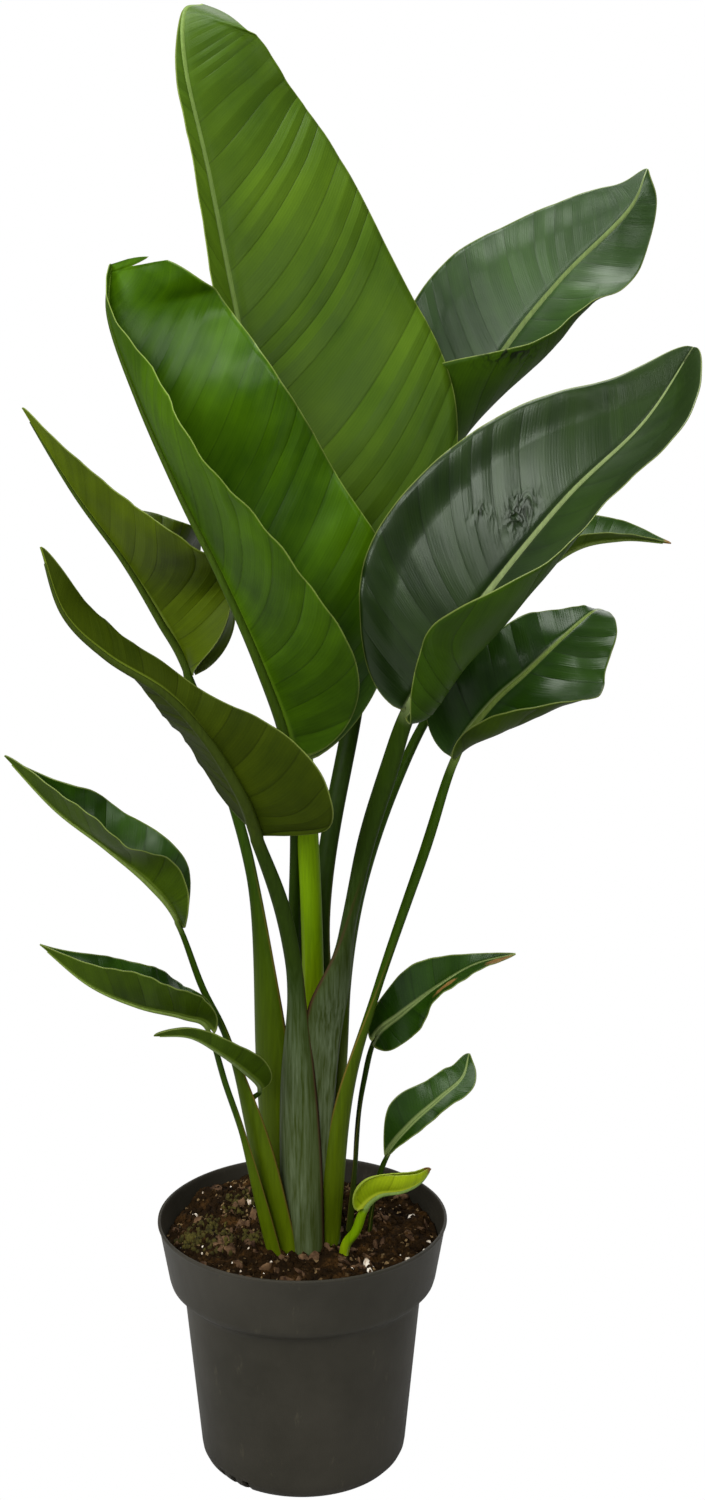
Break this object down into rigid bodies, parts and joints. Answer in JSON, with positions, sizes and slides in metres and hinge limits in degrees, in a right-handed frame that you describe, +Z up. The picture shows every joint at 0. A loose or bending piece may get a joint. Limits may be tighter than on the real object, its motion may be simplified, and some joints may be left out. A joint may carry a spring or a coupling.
{
  "type": "potted bird of paradise",
  "caption": "Giant white bird of paradise house plant: a fan of long-stalked paddle leaves rising from soil in a round tapered nursery pot with a wide collar.",
  "frame": {"origin": "centre of the pot's flat underside", "axes": "+Z up along the pot's axis, -Y towards the front, +X to the right seen from the front"},
  "size_m": [0.5212, 0.4272, 1.189],
  "materials": {
    "pot": "satin, thin moulded polypropylene with light scuffs",
    "soil": "rough damp potting mix of bark and peat",
    "stalk": "smooth satin plant tissue with a thin waxy bloom at the foot",
    "leaf": "glossy cuticle above, satin below, with fine side veins",
    "young_stalk": "satin plant tissue, bright yellow-green",
    "young_leaf": "satin cuticle, lighter than the older leaves"
  },
  "bodies": {
    "root": {"pot": "pot", "tall_centre_leaf_stalk": "young_stalk", "tall_centre_leaf_blade": "young_leaf", "rolled_centre_leaf_stalk": "stalk", "rolled_centre_leaf_blade": "leaf", "right_back_leaf_stalk": "stalk", "right_back_leaf_blade": "leaf", "right_front_leaf_stalk": "stalk", "right_front_leaf_blade": "leaf", "upper_left_leaf_stalk": "stalk", "upper_left_leaf_blade": "leaf", "lower_left_leaf_stalk": "stalk", "lower_left_leaf_blade": "leaf", "hidden_right_leaf_stalk": "stalk", "hidden_right_leaf_blade": "leaf", "right_low_leaf_stalk": "stalk", "right_low_leaf_blade": "leaf", "left_side_leaf_stalk": "stalk", "left_side_leaf_blade": "leaf", "left_low_leaf_stalk": "stalk", "left_low_leaf_blade": "leaf", "left_small_leaf_stalk": "stalk", "left_small_leaf_blade": "leaf", "right_side_leaf_stalk": "stalk", "right_side_leaf_blade": "leaf", "right_small_leaf_stalk": "stalk", "right_small_leaf_blade": "leaf", "curled_young_leaf_stalk": "young_stalk", "curled_young_leaf_blade": "young_leaf", "soil": "soil"}
  },
  "joints": []
}
